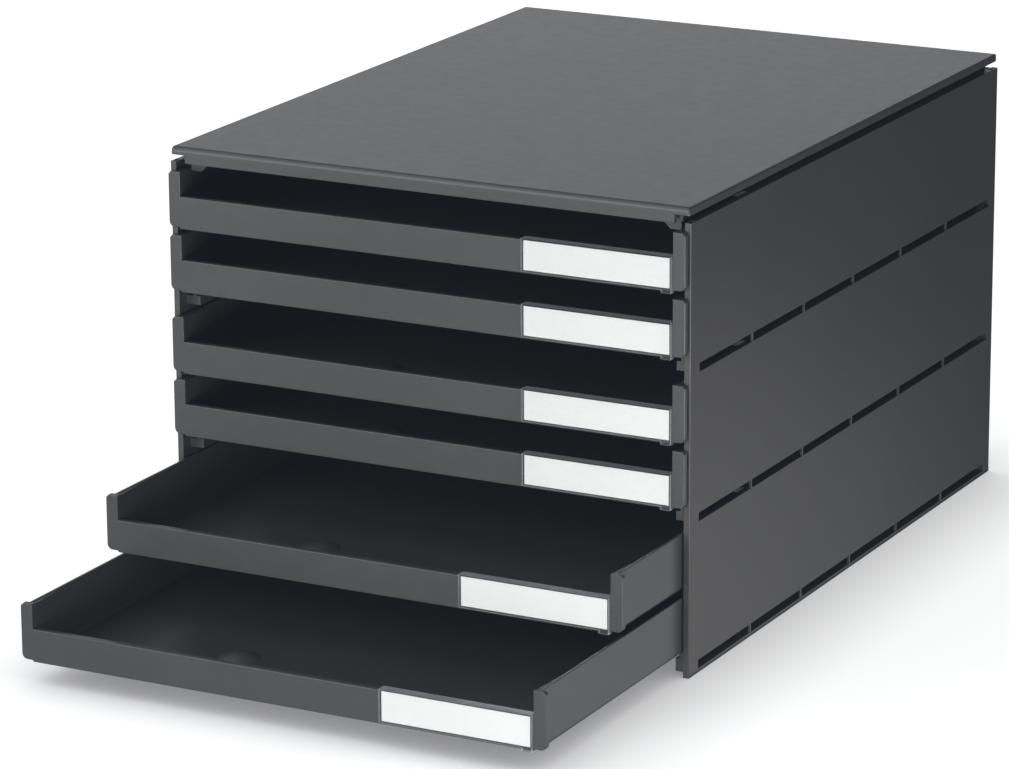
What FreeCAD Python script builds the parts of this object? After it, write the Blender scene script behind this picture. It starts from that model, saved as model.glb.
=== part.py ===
import FreeCAD, Part
import math
import os

"""Letter tray stack: a case of three stacked tiers under one lid, with two sliding drawers in each tier.

Millimetres. X runs across the front, Y from the front to the back, Z up. The origin lies on the desk, at the
middle of the case's footprint. Tiers are counted from the bottom, drawers from the top.
"""

Vector = FreeCAD.Vector

# Case: overall sizes
CASE_WIDTH = 248.2
CASE_DEPTH = 330.0
TIER_NAMES = ("bottom", "middle", "top")
TIER_PITCH = 64.8
BASE_THICKNESS = 1.85

# Side walls
WALL = 2.8
WALL_EDGE_RADIUS = 0.4
SLOT_COUNT = 6
SLOT_HEIGHT = 3.8
SLOT_FRONT_MARGIN = 8.75
SLOT_REAR_MARGIN = 6.85
SLOT_RIB = 1.2
SLOT_RIB_DEPTH = 1.0
TONGUE_THICKNESS = 1.2
TONGUE_HEIGHT = 1.2
TONGUE_LENGTH = 3.2
TONGUE_INSET = 1.2
TONGUE_CLEARANCE = 0.15

# Runners on the inside of the side walls
RUNNER_REACH = 6.6
CHANNEL_SETBACK = 6.5
CHANNEL_HEIGHT = 4.0
CHANNEL_WEB = 1.4
CHANNEL_LIP = 1.5
RUNNING_RIB_WIDTH = 1.6
RUNNING_RIB_INSET = 1.9
LEDGE_SETBACK = 14.0
LEDGE_THICKNESS = 2.25
TOP_FLANGE_SETBACK = 60.0
TOP_FLANGE_THICKNESS = 2.7
RUNNING_CLEARANCE = 0.25

# Drawers
DRAWER_LIFTS = (7.8, 36.0)
DRAWER_HEIGHT = 25.3
DRAWER_SIDE_CLEARANCE = 0.8
DRAWER_REAR_CLEARANCE = 6.0
DRAWER_WALL = 1.5
DRAWER_FLOOR = 1.6
DRAWER_REAR_HEIGHT = 22.8
DRAWER_BOTTOM_RADIUS = 2.5
DRAWER_INNER_RADIUS = 1.2
RIM_RADIUS = 0.4
DRAWER_TRAVEL = 225.0
OPEN_DISTANCES = (0.0, 0.0, 0.0, 0.0, 57.0, 125.0)

# Drawer fronts
FRONT_STANDOFF = 1.0
FRONT_THICKNESS = 2.6
FRONT_WALL_HEIGHT = 14.4
EAR_COVER = 1.9
POST_WIDTH = 5.7
POST_RISE = 0.7
EAR_CHAMFER = 1.2
FRONT_BOTTOM_RADIUS = 2.5
FRONT_EDGE_CHAMFER = 0.25
GUSSET_LENGTH = 25.0
DOME_RADIUS = 9.0
DOME_HEIGHT = 2.6
DOME_SETBACK = 36.0
DOME_OFFSET = -41.0

# Stops that keep a drawer from being pulled right out
STOP_WIDTH = 2.1
STOP_LENGTH = 3.0
STOP_BITE = 2.0
STOP_INSET = 0.5
STOP_CLEARANCE = 0.5

# Labels
LABEL_WIDTH = 69.0
LABEL_GAP_TO_POST = 0.35
LABEL_FOOT = 0.9
COVER_SKIN = 0.8
COVER_BOTTOM = 0.6
COVER_HOOK_DROP = 6.0
CARD_THICKNESS = 0.3
CARD_CLEARANCE = 0.1
COVER_TAB_WIDTH = 4.4
COVER_TAB_REACH = 2.2
COVER_TAB_THICKNESS = 0.5

# Rear panels
PANEL_THICKNESS = 2.2
PANEL_GRIP = 0.9
PANEL_INSET = 0.5
PANEL_CLEARANCE = 0.15
PANEL_RIB_COUNT = 3
PANEL_RIB_WIDTH = 1.4
PANEL_RIB_HEIGHT = 2.0

# Cross ties
TIE_DEPTH = 20.0
TIE_SETBACK = 30.0
TIE_SKIN = 1.5
TIE_CLEARANCE = 0.2
TIE_LUG_LENGTH = 5.0
TIE_LUG_HEIGHT = 1.4
TIE_LUG_LIFT = 0.7
TIE_LUG_INSET = 2.5
TIE_LUG_CLEARANCE = 0.1

# Base frame
BASE_MEMBER_DEPTH = 24.0
BASE_LINE_LIFT = 0.65
BASE_LINE_HEIGHT = 0.3
BASE_LINE_DEPTH = 0.4

# Lid
LID_SIDE_INSET = 0.6
LID_OVERHANG = 0.3
LID_THICKNESS = 3.4
LID_GAP = 3.15
LID_FRONT_RADIUS = 2.2
LID_EDGE_RADIUS = 0.8
LIP_END_INSET = 4.7
LIP_THICKNESS = 2.0
LIP_DROP = 3.6
TAB_INSET = 4.2
TAB_WIDTH = 8.1
TAB_THICKNESS = 2.0
TAB_SETBACK = 5.65
TAB_DROP = 7.9
TAB_CHAMFER = 3.0
TAB_CORNER_RADIUS = 1.0
SKIRT_THICKNESS = 1.6
SKIRT_MARGIN = 3.0

# Places worked out from the sizes above
FRONT = -CASE_DEPTH / 2
REAR = CASE_DEPTH / 2
WALL_OUTER = CASE_WIDTH / 2
WALL_INNER = WALL_OUTER - WALL
RUNNER_EDGE = WALL_INNER - RUNNER_REACH
PANEL_BACK = REAR - PANEL_INSET
PANEL_FRONT = PANEL_BACK - PANEL_THICKNESS
RUNNER_REAR = PANEL_FRONT - PANEL_CLEARANCE
REAR_TAB_FRONT = RUNNER_REAR - PANEL_CLEARANCE - TAB_THICKNESS
TOP_FLANGE_REAR = REAR_TAB_FRONT - PANEL_CLEARANCE
DRAWER_HALF = WALL_INNER - DRAWER_SIDE_CLEARANCE
DRAWER_INNER_HALF = DRAWER_HALF - DRAWER_WALL
DRAWER_REAR = PANEL_FRONT - DRAWER_REAR_CLEARANCE
FRONT_BACK_FACE = FRONT - FRONT_STANDOFF
FRONT_FACE = FRONT_BACK_FACE - FRONT_THICKNESS
EAR_EDGE = WALL_INNER + EAR_COVER
POST_EDGE = EAR_EDGE - POST_WIDTH
CASE_TOP = BASE_THICKNESS + len(TIER_NAMES) * TIER_PITCH
LID_UNDERSIDE = CASE_TOP + LID_GAP


def block(x0, x1, y0, y1, z0, z1):
    """Box between two opposite corners."""
    return Part.makeBox(x1 - x0, y1 - y0, z1 - z0, Vector(x0, y0, z0))


def rounded_face(corners, place):
    """Flat face with corners (a, b, radius), where place(a, b) gives the point in space."""
    stretches = []
    for i, (a, b, radius) in enumerate(corners):
        here = Vector(a, b, 0)
        back = (Vector(*corners[i - 1][:2], 0) - here).normalize()
        ahead = (Vector(*corners[(i + 1) % len(corners)][:2], 0) - here).normalize()
        half_angle = back.getAngle(ahead) / 2
        reach = radius / math.tan(half_angle)
        bisector = (back + ahead).normalize()
        middle = here + bisector * (radius / math.sin(half_angle) - radius)
        stretches.append([place(p.x, p.y) for p in (here + back * reach, middle, here + ahead * reach)])
    edges = []
    for i, (start, middle, end) in enumerate(stretches):
        if corners[i][2] > 0:
            edges.append(Part.Arc(start, middle, end).toShape())
        edges.append(Part.LineSegment(end, stretches[(i + 1) % len(stretches)][0]).toShape())
    return Part.Face(Part.Wire(edges))


def edges_at(shape, axis, value):
    """Edges that lie in the plane axis = value, with axis 0, 1 or 2 for X, Y or Z."""
    return [e for e in shape.Edges if all(abs(v.Point[axis] - value) < 1e-6 for v in e.Vertexes)]


def mirrored(shape):
    """The left-hand copy of a right-hand shape."""
    return shape.mirror(Vector(0, 0, 0), Vector(1, 0, 0))


def tier_foot(tier):
    return BASE_THICKNESS + tier * TIER_PITCH


def tongue_spans():
    """Y spans of the tongues under the front and the rear leg of a side wall."""
    front = FRONT + TONGUE_INSET
    rear = PANEL_FRONT - 2 * PANEL_CLEARANCE - TONGUE_LENGTH
    return ((front, front + TONGUE_LENGTH), (rear, rear + TONGUE_LENGTH))


def tongue_grooves(top):
    """Cutters for the grooves that take the tongues of the wall above."""
    middle = (WALL_OUTER + WALL_INNER) / 2
    half = TONGUE_THICKNESS / 2 + TONGUE_CLEARANCE
    floor = top - TONGUE_HEIGHT - TONGUE_CLEARANCE
    return [block(middle - half, middle + half, y0 - TONGUE_CLEARANCE, y1 + TONGUE_CLEARANCE, floor, top)
            for y0, y1 in tongue_spans()]


def stop_nib(underside, drawer_bottom):
    """Nib that the drawer's rear wall meets at the end of its travel."""
    rear_face = DRAWER_REAR - DRAWER_WALL - DRAWER_TRAVEL - STOP_CLEARANCE
    bottom = drawer_bottom + DRAWER_REAR_HEIGHT - STOP_BITE
    inner = RUNNER_EDGE + STOP_INSET
    return block(inner, inner + STOP_WIDTH, rear_face - STOP_LENGTH, rear_face, bottom, underside)


def air_slots(foot):
    """Cutters for the row of slots along the foot of a side wall, and for the recess behind their ribs."""
    run = CASE_DEPTH - SLOT_FRONT_MARGIN - SLOT_REAR_MARGIN
    length = (run - (SLOT_COUNT - 1) * SLOT_RIB) / SLOT_COUNT
    recess_start = FRONT + SLOT_FRONT_MARGIN
    cutters = [block(WALL_INNER, WALL_OUTER - SLOT_RIB_DEPTH, recess_start, recess_start + run,
                     foot, foot + SLOT_HEIGHT)]
    for i in range(SLOT_COUNT):
        start = recess_start + i * (length + SLOT_RIB)
        cutters.append(block(WALL_INNER, WALL_OUTER, start, start + length, foot, foot + SLOT_HEIGHT))
    return cutters


def runner_channel(foot):
    """Channel with its lip down that carries the tier's lower drawer on a running rib."""
    front = FRONT + CHANNEL_SETBACK
    web_top = foot + CHANNEL_HEIGHT
    web = block(RUNNER_EDGE, WALL_INNER, front, RUNNER_REAR, web_top - CHANNEL_WEB, web_top)
    lip = block(RUNNER_EDGE, RUNNER_EDGE + CHANNEL_LIP, front, RUNNER_REAR, foot, web_top)
    nose = block(RUNNER_EDGE, WALL_INNER, front, front + CHANNEL_LIP, foot, web_top)
    rib_inner = RUNNER_EDGE + RUNNING_RIB_INSET
    rib_top = foot + DRAWER_LIFTS[0] - RUNNING_CLEARANCE
    rib = block(rib_inner, rib_inner + RUNNING_RIB_WIDTH, front, RUNNER_REAR, web_top, rib_top)
    return [web, lip, nose, rib]


def tie_lugs(foot, x0, x1, clearance):
    """Two lugs at the right end of a cross tie or, with a clearance, the cutters for their holes."""
    front = FRONT + TIE_SETBACK + TIE_LUG_INSET
    rear = FRONT + TIE_SETBACK + TIE_DEPTH - TIE_LUG_INSET - TIE_LUG_LENGTH
    low = foot + TIE_LUG_LIFT
    return [block(x0, x1, y - clearance, y + TIE_LUG_LENGTH + clearance,
                  low - clearance, low + TIE_LUG_HEIGHT + clearance) for y in (front, rear)]


def side_wall(tier):
    """Right-hand wall of one tier with its slots, runners, stops, tongues and grooves."""
    foot = tier_foot(tier)
    top = foot + TIER_PITCH
    outline = [(WALL_INNER, FRONT, 0), (WALL_OUTER, FRONT, WALL_EDGE_RADIUS),
               (WALL_OUTER, REAR, WALL_EDGE_RADIUS), (WALL_INNER, REAR, 0)]
    plate = rounded_face(outline, lambda a, b: Vector(a, b, foot)).extrude(Vector(0, 0, TIER_PITCH))
    panel_groove = block(WALL_INNER, WALL_INNER + PANEL_GRIP + PANEL_CLEARANCE,
                         PANEL_FRONT - PANEL_CLEARANCE, PANEL_BACK + PANEL_CLEARANCE, foot, top)
    plate = plate.cut(air_slots(foot) + [panel_groove] + tongue_grooves(top))

    lower, upper = (foot + lift for lift in DRAWER_LIFTS)
    ledge_top = upper - RUNNING_CLEARANCE
    ledge_bottom = ledge_top - LEDGE_THICKNESS
    flange_bottom = top - TOP_FLANGE_THICKNESS
    ledge = block(RUNNER_EDGE, WALL_INNER, FRONT + LEDGE_SETBACK, RUNNER_REAR, ledge_bottom, ledge_top)
    flange = block(RUNNER_EDGE, WALL_INNER, FRONT + TOP_FLANGE_SETBACK, TOP_FLANGE_REAR, flange_bottom, top)
    stops = [stop_nib(ledge_bottom, lower), stop_nib(flange_bottom, upper)]

    middle = (WALL_OUTER + WALL_INNER) / 2
    tongues = [block(middle - TONGUE_THICKNESS / 2, middle + TONGUE_THICKNESS / 2, y0, y1,
                     foot - TONGUE_HEIGHT, foot) for y0, y1 in tongue_spans()]
    wall = plate.fuse(runner_channel(foot) + [ledge, flange] + stops + tongues).removeSplitter()
    return wall.cut(tie_lugs(foot, RUNNER_EDGE, RUNNER_EDGE + CHANNEL_LIP, TIE_LUG_CLEARANCE))


def rear_panel(tier):
    """Panel that slides into the grooves of both side walls and closes the back of one tier."""
    foot = tier_foot(tier) + PANEL_CLEARANCE
    top = tier_foot(tier) + TIER_PITCH - PANEL_CLEARANCE
    half = WALL_INNER + PANEL_GRIP
    panel = block(-half, half, PANEL_FRONT, PANEL_BACK, foot, top)
    spacing = 2 * RUNNER_EDGE / (PANEL_RIB_COUNT + 1)
    ribs = []
    for i in range(PANEL_RIB_COUNT):
        middle = -RUNNER_EDGE + (i + 1) * spacing
        ribs.append(block(middle - PANEL_RIB_WIDTH / 2, middle + PANEL_RIB_WIDTH / 2,
                          PANEL_FRONT - PANEL_RIB_HEIGHT, PANEL_FRONT, foot, top))
    return panel.fuse(ribs).removeSplitter()


def cross_tie(tier):
    """Ribbed bar that holds the two runner channels of a tier at their distance."""
    foot = tier_foot(tier)
    half = RUNNER_EDGE - TIE_CLEARANCE
    start = FRONT + TIE_SETBACK
    top = foot + CHANNEL_HEIGHT
    low = foot + TIE_CLEARANCE
    plate = block(-half, half, start, start + TIE_DEPTH, top - TIE_SKIN, top)
    ribs = [block(-half, half, start + step, start + step + TIE_SKIN, low, top)
            for step in (0, (TIE_DEPTH - TIE_SKIN) / 2, TIE_DEPTH - TIE_SKIN)]
    end = [block(half - TIE_SKIN, half, start, start + TIE_DEPTH, low, top)]
    end += tie_lugs(foot, half, RUNNER_EDGE + CHANNEL_LIP - TIE_CLEARANCE, 0)
    end += [mirrored(piece) for piece in end]
    return plate.fuse(ribs + end).removeSplitter()


def base_frame():
    """Flat frame that the lowest side walls stand on: two rails, lined outside, and three cross members.

    The rails lie under the walls for their whole depth, and under the runner channels from their noses back.
    """
    line = block(WALL_OUTER - BASE_LINE_DEPTH, WALL_OUTER, FRONT, REAR,
                 BASE_LINE_LIFT, BASE_LINE_LIFT + BASE_LINE_HEIGHT)
    under_wall = block(WALL_INNER, WALL_OUTER, FRONT, REAR, 0, BASE_THICKNESS).cut(line)
    under_channel = block(RUNNER_EDGE, WALL_INNER, FRONT + CHANNEL_SETBACK, REAR, 0, BASE_THICKNESS)
    rails = [under_wall, under_channel, mirrored(under_wall), mirrored(under_channel)]
    grooves = tongue_grooves(BASE_THICKNESS)
    grooves += [mirrored(groove) for groove in grooves]
    last = REAR - BASE_MEMBER_DEPTH
    first = FRONT + TIE_SETBACK
    members = [block(-RUNNER_EDGE, RUNNER_EDGE, y, y + BASE_MEMBER_DEPTH, 0, BASE_THICKNESS)
               for y in (first, -BASE_MEMBER_DEPTH / 2, last)]
    return rails[0].fuse(rails[1:] + members).removeSplitter().cut(grooves)


def drawer_front(bottom):
    """Front panel: low wall between two posts, which end a little higher and cover the side walls' ends."""
    top = bottom + DRAWER_HEIGHT
    wall_top = bottom + FRONT_WALL_HEIGHT
    post_foot = bottom + POST_RISE
    right = [(POST_EDGE, bottom, 0), (POST_EDGE + POST_RISE, post_foot, 0),
             (EAR_EDGE, post_foot, FRONT_BOTTOM_RADIUS), (EAR_EDGE, top - EAR_CHAMFER, 0),
             (EAR_EDGE - EAR_CHAMFER, top, 0), (POST_EDGE, top, 0), (POST_EDGE, wall_top, 0)]
    left = [(-x, z, radius) for x, z, radius in reversed(right)]
    face = rounded_face(right + left, lambda a, b: Vector(a, FRONT_FACE, b))
    panel = face.extrude(Vector(0, FRONT_THICKNESS, 0))
    return panel.makeChamfer(FRONT_EDGE_CHAMFER, edges_at(panel, 1, FRONT_FACE))


def drawer_tub(bottom):
    """Floor and side walls as one rounded channel, with the rear wall."""
    top = bottom + DRAWER_HEIGHT
    floor_top = bottom + DRAWER_FLOOR
    right = [(DRAWER_HALF, bottom, DRAWER_BOTTOM_RADIUS), (DRAWER_HALF, top, RIM_RADIUS),
             (DRAWER_INNER_HALF, top, RIM_RADIUS), (DRAWER_INNER_HALF, floor_top, DRAWER_INNER_RADIUS)]
    left = [(-x, z, radius) for x, z, radius in reversed(right)]
    section = rounded_face(right + left, lambda a, b: Vector(a, FRONT_BACK_FACE, b))
    channel = section.extrude(Vector(0, DRAWER_REAR - FRONT_BACK_FACE, 0))
    rear = block(-DRAWER_INNER_HALF, DRAWER_INNER_HALF, DRAWER_REAR - DRAWER_WALL, DRAWER_REAR,
                 bottom + DRAWER_FLOOR / 2, bottom + DRAWER_REAR_HEIGHT)
    return channel.fuse(rear)


def post_gusset(bottom):
    """Tapered thickening that leads each side wall into its post."""
    triangle = [(DRAWER_INNER_HALF, FRONT_BACK_FACE + GUSSET_LENGTH, 0),
                (POST_EDGE, FRONT_BACK_FACE, 0), (DRAWER_INNER_HALF, FRONT_BACK_FACE, 0)]
    face = rounded_face(triangle, lambda a, b: Vector(a, b, bottom + DRAWER_FLOOR / 2))
    return face.extrude(Vector(0, 0, DRAWER_HEIGHT - DRAWER_FLOOR / 2 - RIM_RADIUS))


def floor_dome(bottom):
    """Low dome on the floor behind the front wall, over which a sheet bends up to the fingers."""
    radius = (DOME_RADIUS ** 2 + DOME_HEIGHT ** 2) / (2 * DOME_HEIGHT)
    floor_top = bottom + DRAWER_FLOOR
    centre = Vector(DOME_OFFSET, FRONT + DOME_SETBACK, floor_top + DOME_HEIGHT - radius)
    ball = Part.makeSphere(radius, centre)
    return ball.common(block(DOME_OFFSET - radius, DOME_OFFSET + radius, centre.y - radius,
                             centre.y + radius, floor_top, floor_top + DOME_HEIGHT))


def drawer_tray(bottom):
    """One drawer moulding, closed."""
    gusset = post_gusset(bottom)
    pieces = [drawer_tub(bottom), gusset, mirrored(gusset), floor_dome(bottom)]
    return drawer_front(bottom).fuse(pieces).removeSplitter()


def label_places(bottom):
    """Right and left end of the label cover, its foot and its top."""
    right = POST_EDGE - LABEL_GAP_TO_POST
    return right - LABEL_WIDTH, right, bottom + LABEL_FOOT, bottom + FRONT_WALL_HEIGHT


def label_cover(bottom):
    """Clear cover that hooks over the low front wall and holds the card against it."""
    left, right, foot, wall_top = label_places(bottom)
    pocket = CARD_THICKNESS + 2 * CARD_CLEARANCE
    face = FRONT_FACE - pocket - COVER_SKIN
    top = wall_top + COVER_SKIN
    shell = block(left, right, face, FRONT_FACE, foot, top)
    shell = shell.cut(block(left + COVER_SKIN, right - COVER_SKIN, FRONT_FACE - pocket, FRONT_FACE,
                            foot + COVER_BOTTOM, wall_top))
    bridge = block(left, right, FRONT_FACE, FRONT_BACK_FACE + COVER_SKIN, wall_top, top)
    hook = block(left, right, FRONT_BACK_FACE, FRONT_BACK_FACE + COVER_SKIN, wall_top - COVER_HOOK_DROP, top)
    tab_left = right - COVER_TAB_WIDTH
    tab_low = bottom - COVER_TAB_THICKNESS
    tab = block(tab_left, right, face, FRONT_FACE, tab_low, foot)
    tab_foot = block(tab_left, right, FRONT_FACE, FRONT_FACE + COVER_TAB_REACH, tab_low, bottom)
    return shell.fuse([bridge, hook, tab, tab_foot]).removeSplitter()


def label_card(bottom):
    """Blank card in the pocket of the cover."""
    left, right, foot, wall_top = label_places(bottom)
    margin = COVER_SKIN + CARD_CLEARANCE
    back = FRONT_FACE - CARD_CLEARANCE
    return block(left + margin, right - margin, back - CARD_THICKNESS, back,
                 foot + COVER_BOTTOM + CARD_CLEARANCE, wall_top - CARD_CLEARANCE)


def lid_tab(front):
    """Tab at a corner of the lid that reaches down inside the case."""
    outer = WALL_INNER - TAB_INSET
    inner = outer - TAB_WIDTH
    low = LID_UNDERSIDE - TAB_DROP
    outline = [(outer, LID_UNDERSIDE, 0), (outer, low, TAB_CORNER_RADIUS),
               (inner + TAB_CHAMFER, low, TAB_CORNER_RADIUS), (inner, low + TAB_CHAMFER, TAB_CORNER_RADIUS),
               (inner, LID_UNDERSIDE, 0)]
    return rounded_face(outline, lambda a, b: Vector(a, front, b)).extrude(Vector(0, TAB_THICKNESS, 0))


def lid_plate(half, front, back):
    """Plate with a wide round along the top of its front and a small one along its other upper edges."""
    top = LID_UNDERSIDE + LID_THICKNESS
    section = [(front, LID_UNDERSIDE, 0), (back, LID_UNDERSIDE, 0), (back, top, LID_EDGE_RADIUS),
               (front, top, LID_FRONT_RADIUS)]
    plate = rounded_face(section, lambda a, b: Vector(-half, a, b)).extrude(Vector(2 * half, 0, 0))
    underside = edges_at(plate, 2, LID_UNDERSIDE)
    rim = [edge for end in (-half, half) for edge in edges_at(plate, 0, end)
           if not any(edge.isSame(flat) for flat in underside)]
    return plate.makeFillet(LID_EDGE_RADIUS, rim)


def lid():
    """Top plate with its lips, corner tabs and the long ribs that stand on the top flanges."""
    half = WALL_OUTER - LID_SIDE_INSET
    front = FRONT - LID_OVERHANG
    back = REAR - LID_OVERHANG
    lip_end = WALL_INNER - LIP_END_INSET
    lip_low = LID_UNDERSIDE - LIP_DROP
    front_lip = block(-lip_end, lip_end, front, front + LIP_THICKNESS, lip_low, LID_UNDERSIDE)
    rear_lip = block(-lip_end, lip_end, back - LIP_THICKNESS, back, CASE_TOP, LID_UNDERSIDE)
    tabs = [lid_tab(FRONT + TAB_SETBACK), lid_tab(REAR_TAB_FRONT)]
    skirt_outer = WALL_INNER - DRAWER_SIDE_CLEARANCE - DRAWER_WALL
    skirt = block(skirt_outer - SKIRT_THICKNESS, skirt_outer, FRONT + SKIRT_MARGIN,
                  REAR - SKIRT_MARGIN, CASE_TOP, LID_UNDERSIDE)
    doubled = tabs + [skirt]
    doubled += [mirrored(piece) for piece in doubled]
    return lid_plate(half, front, back).fuse([front_lip, rear_lip] + doubled).removeSplitter()


def save(name, shape):
    shape.exportStep("parts/" + name + ".step")


def drawer_bottoms():
    """Heights of the drawers' undersides, from the top drawer down."""
    tiers = reversed(range(len(TIER_NAMES)))
    return [tier_foot(tier) + lift for tier in tiers for lift in reversed(DRAWER_LIFTS)]


os.makedirs("parts", exist_ok=True)
for tier, name in enumerate(TIER_NAMES):
    wall = side_wall(tier)
    save("side_wall_right_" + name, wall)
    save("side_wall_left_" + name, mirrored(wall))
    save("rear_panel_" + name, rear_panel(tier))
    save("cross_tie_" + name, cross_tie(tier))
save("base_frame", base_frame())
save("lid", lid())
for number, (bottom, distance) in enumerate(zip(drawer_bottoms(), OPEN_DISTANCES), start=1):
    makers = {"drawer_tray": drawer_tray, "label_cover": label_cover, "label_card": label_card}
    for kind, make in makers.items():
        piece = make(bottom)
        piece.translate(Vector(0, -distance, 0))
        save(kind + "_" + str(number), piece)
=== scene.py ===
import math

import bpy
from mathutils import Matrix, Vector

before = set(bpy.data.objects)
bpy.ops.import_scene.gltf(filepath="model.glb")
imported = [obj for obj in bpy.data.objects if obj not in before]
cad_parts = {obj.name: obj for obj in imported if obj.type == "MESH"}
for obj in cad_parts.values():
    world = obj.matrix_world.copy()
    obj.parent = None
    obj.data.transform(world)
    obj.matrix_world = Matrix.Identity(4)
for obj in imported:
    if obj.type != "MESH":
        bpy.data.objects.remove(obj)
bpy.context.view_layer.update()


# ---------------------------------------------------------------------------------------------------
# Case: base frame, side walls, cross ties and rear panels of the three tiers
# Injection-moulded polystyrene, tinted dark grey in the granules. Every part is one moulding, and the
# tiers push together on small tongues without screws.
# ---------------------------------------------------------------------------------------------------

MM = 0.001
POLYSTYRENE_IOR = 1.59
# Light grey of the line along edges: partly the rub of hands, partly a painted highlight.
RUB_AND_SHEEN_GREY = "#6c6d70"
TIERS = ("bottom", "middle", "top")


def linear(hex_colour):
    """An sRGB hex colour as the linear RGBA that shaders work in."""
    shares = [int(hex_colour[i:i + 2], 16) / 255 for i in (1, 3, 5)]
    return [s / 12.92 if s <= 0.04045 else ((s + 0.055) / 1.055) ** 2.4 for s in shares] + [1.0]


def add_node(tree, kind, settings=(), links=()):
    """Adds a node, sets its properties and input values, and links its inputs to other nodes' outputs."""
    node = tree.nodes.new(kind)
    for name, value in dict(settings).items():
        if isinstance(name, str) and hasattr(node, name):
            setattr(node, name, value)
        else:
            node.inputs[name].default_value = value
    for name, output in dict(links).items():
        tree.links.new(output, node.inputs[name])
    return node


def per_mm(size):
    """Texture scale that gives features of this size in millimetres."""
    return 1 / (size * MM)


def moulded_polystyrene(name, grey, pale_grey, roughness, rub_and_sheen=0.2, flow_mm=None):
    """Satin polystyrene as it leaves a spark-eroded mould.

    The eye gets soft, wide highlights that grow at a low angle, a barely uneven tone where the melt
    cooled at different speeds, and a thin light line along every edge that is partly the rub of hands and
    partly a painted highlight. The fifth argument is the share of that line's grey, and flow_mm the spacing
    of the lines that the melt leaves across a large plate.
    """
    material = bpy.data.materials.new(name)
    material.use_nodes = True
    tree = material.node_tree
    tree.nodes.clear()
    place = add_node(tree, "ShaderNodeTexCoord").outputs["Object"]

    # Cooling clouds about 70 mm wide, and a mottle of 6 mm over them.
    clouds = add_node(tree, "ShaderNodeTexNoise", {"Scale": per_mm(70), "Detail": 3.0, "Roughness": 0.5},
                      {"Vector": place}).outputs["Fac"]
    mottle = add_node(tree, "ShaderNodeTexNoise", {"Scale": per_mm(6), "Detail": 4.0, "Roughness": 0.6},
                      {"Vector": place}).outputs["Fac"]
    mottled = add_node(tree, "ShaderNodeMath", {"operation": "MULTIPLY", 1: 0.4}, {0: mottle}).outputs[0]
    tone = add_node(tree, "ShaderNodeMath", {"operation": "MULTIPLY_ADD", 1: 0.6},
                    {0: clouds, 2: mottled}).outputs[0]
    if flow_mm:
        # The lines run from side to side, drawn out to about 17 times their spacing.
        stretched = add_node(tree, "ShaderNodeMapping", {"Scale": (0.06, 1.0, 1.0)}, {"Vector": place})
        flow = add_node(tree, "ShaderNodeTexNoise", {"Scale": per_mm(flow_mm), "Detail": 3.0},
                        {"Vector": stretched.outputs[0]}).outputs["Fac"]
        tone = add_node(tree, "ShaderNodeMix", {"data_type": "FLOAT", 0: 0.35},
                        {2: tone, 3: flow}).outputs[0]

    # Edges are rounded by 0.3 mm, and a light line follows them, partly rub and partly painted highlight.
    rounded = add_node(tree, "ShaderNodeBevel", {"samples": 6, "Radius": 0.3 * MM}).outputs[0]
    flat = add_node(tree, "ShaderNodeNewGeometry").outputs["Normal"]
    turned = add_node(tree, "ShaderNodeVectorMath", {"operation": "DOT_PRODUCT"}, {0: rounded, 1: flat})
    rub_and_sheen_line = add_node(tree, "ShaderNodeMapRange", {"From Min": 1.0, "From Max": 0.75, "To Min": 0.0,
                                                "To Max": rub_and_sheen}, {"Value": turned.outputs["Value"]})

    body = add_node(tree, "ShaderNodeValToRGB", links={"Fac": tone})
    body.color_ramp.elements[0].position, body.color_ramp.elements[0].color = 0.3, linear(grey)
    body.color_ramp.elements[1].position, body.color_ramp.elements[1].color = 0.7, linear(pale_grey)
    colour = add_node(tree, "ShaderNodeMix", {"data_type": "RGBA", 7: linear(RUB_AND_SHEEN_GREY)},
                      {0: rub_and_sheen_line.outputs[0], 6: body.outputs[0]}).outputs[2]
    gloss = add_node(tree, "ShaderNodeMapRange", {"To Min": roughness - 0.05, "To Max": roughness + 0.05},
                     {"Value": mottle})
    # The real grain is about 0.1 mm; it is drawn at 0.5 mm, because a finer one doesn't show.
    grain = add_node(tree, "ShaderNodeTexNoise", {"Scale": per_mm(0.5), "Detail": 2.0}, {"Vector": place})
    bump = add_node(tree, "ShaderNodeBump", {"Strength": 0.08, "Distance": 0.05 * MM},
                    {"Height": grain.outputs["Fac"], "Normal": rounded})
    shader = add_node(tree, "ShaderNodeBsdfPrincipled", {"IOR": POLYSTYRENE_IOR},
                      {"Base Color": colour, "Roughness": gloss.outputs[0], "Normal": bump.outputs[0]})
    add_node(tree, "ShaderNodeOutputMaterial", links={"Surface": shader.outputs[0]})
    return material


def finish_node(name, material):
    """Gives a piece its finish, and leaves its mesh as it is."""
    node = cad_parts[name]
    if not node.material_slots:
        node.data.materials.append(material)
    for place in node.material_slots:
        place.link = "OBJECT"
        place.material = material


case_polystyrene = moulded_polystyrene("moulded_polystyrene_case", "#343333", "#3b3a39", 0.42)
finish_node("base_frame", case_polystyrene)
for tier in TIERS:
    for piece in ("side_wall_left_", "side_wall_right_", "rear_panel_", "cross_tie_"):
        finish_node(piece + tier, case_polystyrene)


# ---------------------------------------------------------------------------------------------------
# Lid
# One flat polystyrene plate with a rounded rim. The melt fills its mould from one side, so faint flow
# lines run across it. It clips inside the top tier with four corner tabs.
# ---------------------------------------------------------------------------------------------------

lid_polystyrene = moulded_polystyrene("moulded_polystyrene_lid", "#333334", "#3a3a3b", 0.40,
                                      rub_and_sheen=0.04, flow_mm=1.6)
finish_node("lid", lid_polystyrene)


# ---------------------------------------------------------------------------------------------------
# Drawers
# Six trays from one polystyrene mould, whose core is smoother than that of the case, so they are a
# little shinier. Each slides on runners inside the side walls.
# ---------------------------------------------------------------------------------------------------

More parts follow.
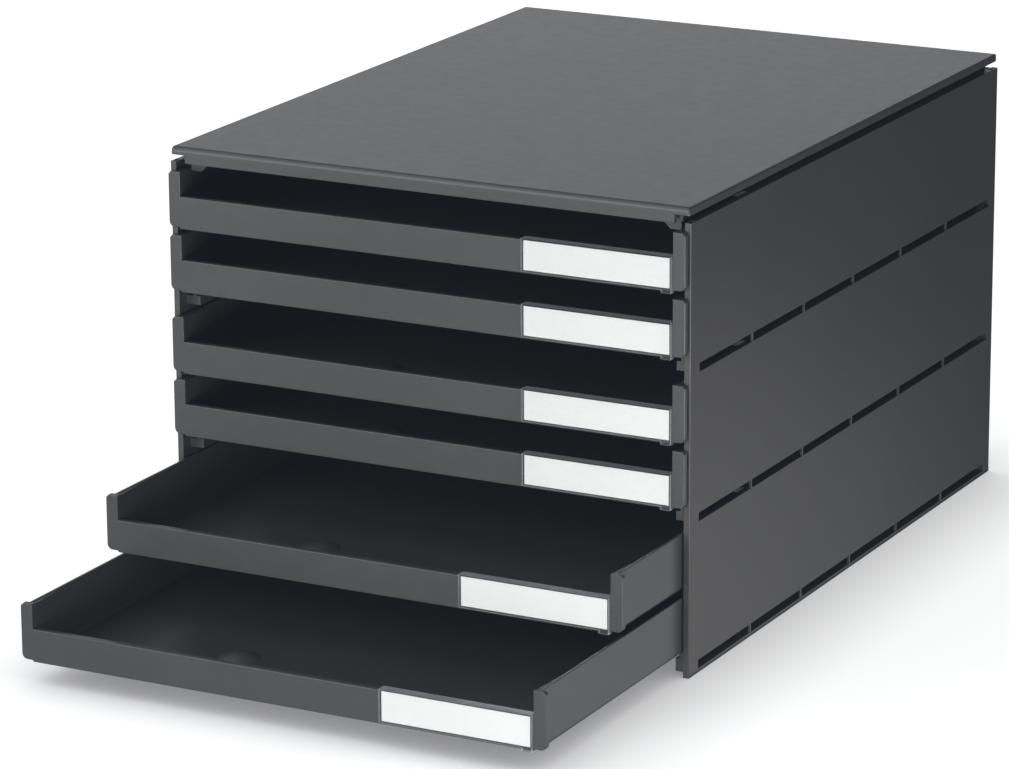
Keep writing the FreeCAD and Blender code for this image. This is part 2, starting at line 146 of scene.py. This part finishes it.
DRAWERS = range(1, 7)
drawer_polystyrene = moulded_polystyrene("moulded_polystyrene_drawer", "#343435", "#3b3b3c", 0.38)
for number in DRAWERS:
    finish_node(f"drawer_tray_{number}", drawer_polystyrene)


# ---------------------------------------------------------------------------------------------------
# Label cards
# White card of 0.3 mm, cut to size and slipped in behind the clear cover. Left blank.
# ---------------------------------------------------------------------------------------------------


def cut_card(name, white, shade):
    """Smooth uncoated card: a matt white with fibres just visible as faint streaks."""
    material = bpy.data.materials.new(name)
    material.use_nodes = True
    tree = material.node_tree
    tree.nodes.clear()
    place = add_node(tree, "ShaderNodeTexCoord").outputs["Object"]
    # Fibres are about 0.03 mm thick; they are drawn at 0.4 mm and four times as long, to show at all.
    along = add_node(tree, "ShaderNodeMapping", {"Scale": (0.25, 1.0, 1.0)}, {"Vector": place})
    fibres = add_node(tree, "ShaderNodeTexNoise", {"Scale": per_mm(0.4), "Detail": 3.0},
                      {"Vector": along.outputs[0]}).outputs["Fac"]
    colour = add_node(tree, "ShaderNodeValToRGB", links={"Fac": fibres})
    colour.color_ramp.elements[0].position, colour.color_ramp.elements[0].color = 0.3, linear(shade)
    colour.color_ramp.elements[1].position, colour.color_ramp.elements[1].color = 0.6, linear(white)
    bump = add_node(tree, "ShaderNodeBump", {"Strength": 0.1, "Distance": 0.02 * MM}, {"Height": fibres})
    shader = add_node(tree, "ShaderNodeBsdfPrincipled", {"Roughness": 0.8, "IOR": 1.5},
                      {"Base Color": colour.outputs[0], "Normal": bump.outputs[0]})
    add_node(tree, "ShaderNodeOutputMaterial", links={"Surface": shader.outputs[0]})
    return material


white_card = cut_card("cut_white_card", "#e0dddc", "#dcd9d9")
for number in DRAWERS:
    finish_node(f"label_card_{number}", white_card)


# ---------------------------------------------------------------------------------------------------
# Label covers
# Clear polystyrene, moulded between polished faces. It hooks over the low front wall of the drawer,
# and a grey painted on its rim, in place of the light its edges bend and reflect, draws a line round the
# card.
# ---------------------------------------------------------------------------------------------------


def clear_polystyrene(name, tint, painted_edge_grey):
    """Thin clear plastic: what lies behind shows through, under a sharp reflection stronger at a low angle.

    Its rim is painted grey: a painted reflection in place of the light that its edges bend and throw back.
    """
    material = bpy.data.materials.new(name)
    material.use_nodes = True
    tree = material.node_tree
    tree.nodes.clear()
    place = add_node(tree, "ShaderNodeTexCoord").outputs["Object"]
    # Shrinkage leaves the face very slightly wavy, over about 15 mm.
    waves = add_node(tree, "ShaderNodeTexNoise", {"Scale": per_mm(15), "Detail": 1.0}, {"Vector": place})
    bump = add_node(tree, "ShaderNodeBump", {"Strength": 0.2, "Distance": 0.1 * MM},
                    {"Height": waves.outputs["Fac"]}).outputs[0]
    through = add_node(tree, "ShaderNodeBsdfTransparent", {"Color": linear(tint)}).outputs[0]
    gloss = add_node(tree, "ShaderNodeBsdfGlossy", {"Roughness": 0.08}, {"Normal": bump}).outputs[0]
    geometry = add_node(tree, "ShaderNodeNewGeometry")
    grazing = add_node(tree, "ShaderNodeFresnel", {"IOR": POLYSTYRENE_IOR}, {"Normal": bump}).outputs[0]
    # Only the outer faces reflect: light isn't bent inside the pane, so its inner faces let all of it out.
    share = add_node(tree, "ShaderNodeMath", {"operation": "SUBTRACT", "use_clamp": True},
                     {0: grazing, 1: geometry.outputs["Backfacing"]}).outputs[0]
    pane = add_node(tree, "ShaderNodeMixShader", links={0: share, 1: through, 2: gloss}).outputs[0]

    # The rim is every face that doesn't look to the front or the back. Its grey is a painted reflection,
    # in place of the light that the edges bend, and streaks 0.3 mm apart break it up.
    facing = add_node(tree, "ShaderNodeSeparateXYZ", links={0: geometry.outputs["Normal"]}).outputs["Y"]
    sideways = add_node(tree, "ShaderNodeMath", {"operation": "ABSOLUTE"}, {0: facing}).outputs[0]
    edge_streaks = add_node(tree, "ShaderNodeTexNoise", {"Scale": per_mm(0.3), "Detail": 1.0}, {"Vector": place})
    painted_edge_share = add_node(tree, "ShaderNodeMapRange", {"From Min": 0.8, "From Max": 0.4, "To Min": 0.0},
                      {"Value": sideways, "To Max": edge_streaks.outputs["Fac"]}).outputs[0]
    rim = add_node(tree, "ShaderNodeBsdfPrincipled",
                   {"Base Color": linear(painted_edge_grey), "Roughness": 0.35, "IOR": POLYSTYRENE_IOR}).outputs[0]
    shader = add_node(tree, "ShaderNodeMixShader", links={0: painted_edge_share, 1: pane, 2: rim})
    add_node(tree, "ShaderNodeOutputMaterial", links={"Surface": shader.outputs[0]})
    return material


# The grey painted along the rims stands in for the light that the pane's edges bend and reflect.
clear_cover = clear_polystyrene("clear_polystyrene_cover", "#fdfefe", "#b6b7bb")
for number in DRAWERS:
    finish_node(f"label_cover_{number}", clear_cover)


# ---------------------------------------------------------------------------------------------------
# Studio
# A lit white table under graded surroundings, softboxes and reflectors round the object, and the camera
# at the right of its front. Places and sizes are in metres, lamps in watts and the lens in millimetres.
# ---------------------------------------------------------------------------------------------------

FLOOR_HALF = 6.0
CONTACT_SHADOW_REACH = 60 * MM
floor_mesh = bpy.data.meshes.new("studio_floor")
floor_corners = [(x * FLOOR_HALF, y * FLOOR_HALF, 0) for x, y in ((-1, -1), (1, -1), (1, 1), (-1, 1))]
floor_mesh.from_pydata(floor_corners, [], [(0, 1, 2, 3)])
floor = bpy.data.objects.new("studio_floor", floor_mesh)
bpy.context.scene.collection.objects.link(floor)


def lit_table(name, white, contact_shade, glow):
    """Matt acrylic table top that glows a little, with a painted contact shadow under what stands on it."""
    material = bpy.data.materials.new(name)
    material.use_nodes = True
    tree = material.node_tree
    tree.nodes.clear()
    # Painted contact shadow: ambient occlusion turns the white towards contact_shade close round the
    # object.
    openness = add_node(tree, "ShaderNodeAmbientOcclusion",
                        {"samples": 8, "Distance": CONTACT_SHADOW_REACH}).outputs["AO"]
    colour = add_node(tree, "ShaderNodeMix",
                      {"data_type": "RGBA", 6: linear(contact_shade), 7: linear(white)},
                      {0: openness}).outputs[2]
    shader = add_node(tree, "ShaderNodeBsdfPrincipled",
                      {"Roughness": 0.9, "Specular IOR Level": 0.1, "Emission Strength": glow},
                      {"Base Color": colour, "Emission Color": colour})
    add_node(tree, "ShaderNodeOutputMaterial", links={"Surface": shader.outputs[0]})
    return material


# Only the camera sees the table: it neither lights the object nor shades it from what shines up from below.
floor_mesh.materials.append(lit_table("matt_white_floor", "#f4f4f4", "#8e8e90", 0.82))
floor.visible_diffuse = floor.visible_glossy = floor.visible_shadow = False

# The studio's air is pale to the left and in front, and dims towards the right and the back.
AIR_PALE, AIR_DIM = 0.34, 0.13
TOWARDS_DIM_SIDE = (0.83, 0.55, 0.0)
world = bpy.data.worlds.new("studio_air")
bpy.context.scene.world = world
world.use_nodes = True
air = world.node_tree
air.nodes["Background"].inputs["Color"].default_value = linear("#f6fafe")
way = add_node(air, "ShaderNodeTexCoord").outputs["Generated"]
aside = add_node(air, "ShaderNodeVectorMath", {"operation": "DOT_PRODUCT", 1: TOWARDS_DIM_SIDE}, {0: way})
pale = add_node(air, "ShaderNodeMapRange",
                {"From Min": -0.2, "From Max": 0.6, "To Min": AIR_PALE, "To Max": AIR_DIM},
                {"Value": aside.outputs["Value"]})
air.links.new(pale.outputs[0], air.nodes["Background"].inputs["Strength"])

# Two lamps are for the floor, which has to be white with a soft shadow, and the others for the object.
floor_alone, all_but_floor = (bpy.data.collections.new(name) for name in ("floor_alone", "all_but_floor"))
floor_alone.objects.link(floor)
all_but_floor.objects.link(floor)
all_but_floor.collection_objects[0].light_linking.link_state = "EXCLUDE"


def softbox(name, place, target, width, height, watts, shines_on):
    """Area light at a place, turned to a target, that lights only what its collection lets in."""
    lamp = bpy.data.lights.new(name, "AREA")
    lamp.shape, lamp.size, lamp.size_y, lamp.energy = "RECTANGLE", width, height, watts
    box = bpy.data.objects.new(name, lamp)
    box.location = place
    box.visible_camera = False
    box.rotation_euler = (Vector(target) - Vector(place)).to_track_quat("-Z", "Y").to_euler()
    box.light_linking.receiver_collection = shines_on
    bpy.context.scene.collection.objects.link(box)


# Name, place, target, width, height, watts.
for row in (("floor_overhead", (-0.5, -0.3, 2.0), (0.0, -0.1, 0.0), 2.4, 2.4, 7.0),
            ("floor_left", (-2.2, -1.0, 1.2), (0.0, 0.0, 0.0), 1.6, 1.2, 8.0)):
    softbox(*row, floor_alone)

# The front softbox lights the labels, and the one behind gives the lid its sheen. Reflectors just above
# and below the table lift the fronts and the right wall, and low fills the back and the left wall.
for row in (("softbox_front", (-1.0, -2.9, 1.3), (0.0, 0.0, 0.1), 2.6, 2.0, 51.0),
            ("softbox_front_left", (-1.60, -1.70, 0.05), (-0.1, -0.1, 0.1), 0.6, 0.3, 9.0),
            ("softbox_overhead", (-0.9, -0.6, 1.7), (0.0, -0.1, 0.2), 1.2, 1.2, 4.5),
            ("softbox_behind", (-1.35, 2.6, 0.85), (-0.05, 0.1, 0.2), 1.3, 0.7, 3.1),
            ("reflector_front", (0.20, -0.85, 0.02), (0.05, -0.25, 0.08), 0.6, 0.12, 1.8),
            ("reflector_right", (0.42, -0.30, 0.05), (0.124, -0.10, 0.08), 0.4, 0.12, 1.0),
            ("bounce_right", (0.45, 0.15, -0.15), (0.124, -0.05, 0.05), 0.6, 0.3, 0.36),
            ("fill_behind", (-0.6, 2.2, 0.10), (0.0, 0.165, 0.1), 1.0, 0.15, 12.0),
            ("fill_left", (-2.2, 0.3, 0.10), (-0.124, 0.0, 0.1), 1.2, 0.15, 9.0)):
    softbox(*row, all_but_floor)

# The camera stands a little to the right of the front and above it.
SENSOR_WIDTH, FOCAL_LENGTH = 36.0, 171.4
CAMERA_PLACE = (0.9416, -1.8772, 0.6777)
CAMERA_TURN, CAMERA_DIP, CAMERA_ROLL = math.radians(27.83), math.radians(16.15), math.radians(-0.36)
ahead = Vector((-math.sin(CAMERA_TURN) * math.cos(CAMERA_DIP),
                math.cos(CAMERA_TURN) * math.cos(CAMERA_DIP), -math.sin(CAMERA_DIP)))
right = Vector((math.cos(CAMERA_TURN), math.sin(CAMERA_TURN), 0.0))
up = right.cross(ahead)
across = right * math.cos(CAMERA_ROLL) + up * math.sin(CAMERA_ROLL)
upward = up * math.cos(CAMERA_ROLL) - right * math.sin(CAMERA_ROLL)
camera = bpy.data.objects.new("camera", bpy.data.cameras.new("camera"))
camera.data.sensor_width, camera.data.lens = SENSOR_WIDTH, FOCAL_LENGTH
axes = Matrix((across, upward, -ahead)).transposed().to_4x4()
camera.matrix_world = Matrix.Translation(CAMERA_PLACE) @ axes
bpy.context.scene.collection.objects.link(camera)
bpy.context.scene.camera = camera

# The bright table throws a faint haze into the lens, so the deepest shadows come out dark blue.
HAZE = (-0.0075, -0.009, -0.012)
film = bpy.context.scene.view_settings
film.view_transform = "Standard"
film.use_curve_mapping = True
film.curve_mapping.black_level = HAZE
film.curve_mapping.update()
